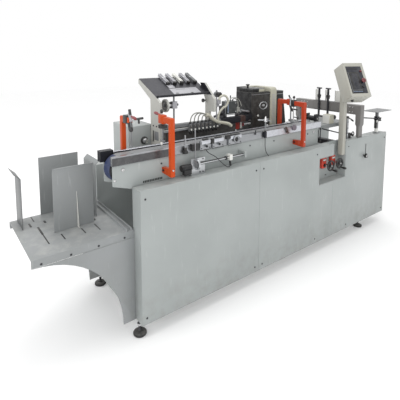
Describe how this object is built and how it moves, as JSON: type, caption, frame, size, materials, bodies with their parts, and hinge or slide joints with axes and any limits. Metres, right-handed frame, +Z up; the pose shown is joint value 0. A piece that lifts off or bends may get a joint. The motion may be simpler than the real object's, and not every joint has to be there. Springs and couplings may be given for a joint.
{
  "type": "carton laminating machine",
  "caption": "Floor standing carton laminating line: blank table, belt conveyor, glue unit, gantry, handwheels and operator pendant.",
  "frame": {"origin": "centre of the front left levelling foot's underside, on the floor", "axes": "+X along the carton path, +Y away from the operator's side, +Z up"},
  "size_m": [2.915, 0.852, 1.4115],
  "materials": {
    "belt_blue": "flat belt",
    "black_plastic": "moulded",
    "bracket_orange": "orange enamel",
    "bright_metal": "satin",
    "cabinet_grey": "light greenish grey powder coat",
    "casing_beige": "beige powder coat",
    "counter_red": "gloss",
    "dark_steel": "oiled dark steel",
    "rubber": "matt",
    "screen": "gloss",
    "stop_red": "gloss",
    "table_grey": "mid grey powder coat",
    "tank_dark": "dark wrinkle paint"
  },
  "bodies": {
    "machine": {"air_hoses": "casing_beige", "applicator_head": "tank_dark", "arch_panel_front": "table_grey", "arch_panel_rear": "table_grey", "blank_table": "table_grey", "bracket_front_1": "bracket_orange", "bracket_front_2": "bracket_orange", "bracket_rear_1": "bracket_orange", "bracket_rear_2": "bracket_orange", "control_recess": "cabinet_grey", "conveyor_belt": "belt_blue", "conveyor_side_front": "cabinet_grey", "conveyor_side_rear": "cabinet_grey", "counter_left": "counter_red", "counter_right": "counter_red", "cross_beam_1": "dark_steel", "cross_beam_2": "dark_steel", "cross_beam_3": "dark_steel", "cross_shaft": "bright_metal", "electric_box": "cabinet_grey", "emergency_stop": "stop_red", "end_panel_left": "cabinet_grey", "end_panel_right": "cabinet_grey", "exit_bed": "table_grey", "foot_front_left": "rubber", "foot_front_right": "rubber", "foot_rear_left": "rubber", "foot_rear_right": "rubber", "front_panel_left": "cabinet_grey", "front_panel_middle": "cabinet_grey", "front_panel_right": "cabinet_grey", "gantry": "cabinet_grey", "glue_casing": "casing_beige", "glue_drive": "tank_dark", "glue_tank": "tank_dark", "guide_disc": "bright_metal", "guide_plate_back": "table_grey", "guide_plate_front": "table_grey", "guide_plate_left": "table_grey", "guide_plate_right": "table_grey", "head_roller": "dark_steel", "height_knob": "black_plastic", "pendant_box": "table_grey", "pendant_post": "table_grey", "pendant_screen": "screen", "plate_stand": "table_grey", "press_unit": "dark_steel", "rail_front": "bright_metal", "rail_rear": "bright_metal", "rear_panel_left": "cabinet_grey", "rear_panel_middle": "cabinet_grey", "rear_panel_right": "cabinet_grey", "sensor_rod": "bright_metal", "side_frame_front": "cabinet_grey", "side_frame_rear": "cabinet_grey", "tail_roller": "dark_steel", "tool_rack": "dark_steel", "valve_carrier": "dark_steel"},
    "handwheel_left": {"handwheel_left": "black_plastic"},
    "handwheel_right": {"handwheel_right": "black_plastic"}
  },
  "joints": [
    {"name": "wheel_turn_left", "type": "hinge", "parent": "machine", "child": "handwheel_left", "pos_m": [1.61, -0.058, 0.632], "axis": [0, -1, 0], "continuous": true},
    {"name": "wheel_turn_right", "type": "hinge", "parent": "machine", "child": "handwheel_right", "pos_m": [1.727, -0.058, 0.632], "axis": [0, -1, 0], "continuous": true}
  ]
}
